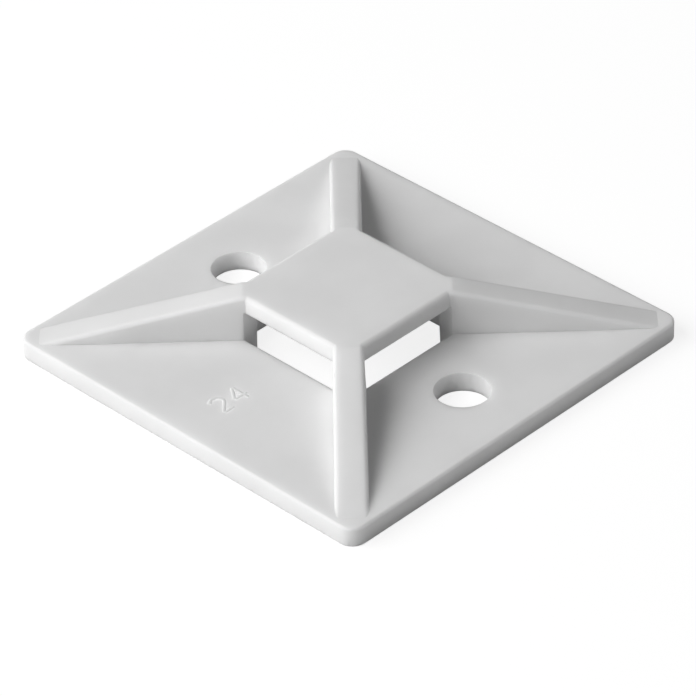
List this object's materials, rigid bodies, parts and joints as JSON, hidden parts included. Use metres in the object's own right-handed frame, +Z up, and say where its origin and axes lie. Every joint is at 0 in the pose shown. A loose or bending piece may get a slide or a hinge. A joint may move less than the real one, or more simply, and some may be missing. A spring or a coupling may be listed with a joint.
{
  "type": "cable tie mount",
  "caption": "Square moulded base with a raised deck on sloped corner ribs. A cable tie threads under the deck either way, and screws or a glue pad hold the base to a surface.",
  "frame": {"origin": "centre of the flat underside, which rests on the surface that the mount is fixed to", "axes": "+Z up out of that surface, X along the line of the screw holes, sides of the plate along X and Y"},
  "size_m": [0.028, 0.028, 0.0043],
  "materials": {
    "white_plastic": "fine satin, natural white polyamide"
  },
  "bodies": {
    "root": {"tie_mount": "white_plastic"}
  },
  "joints": []
}
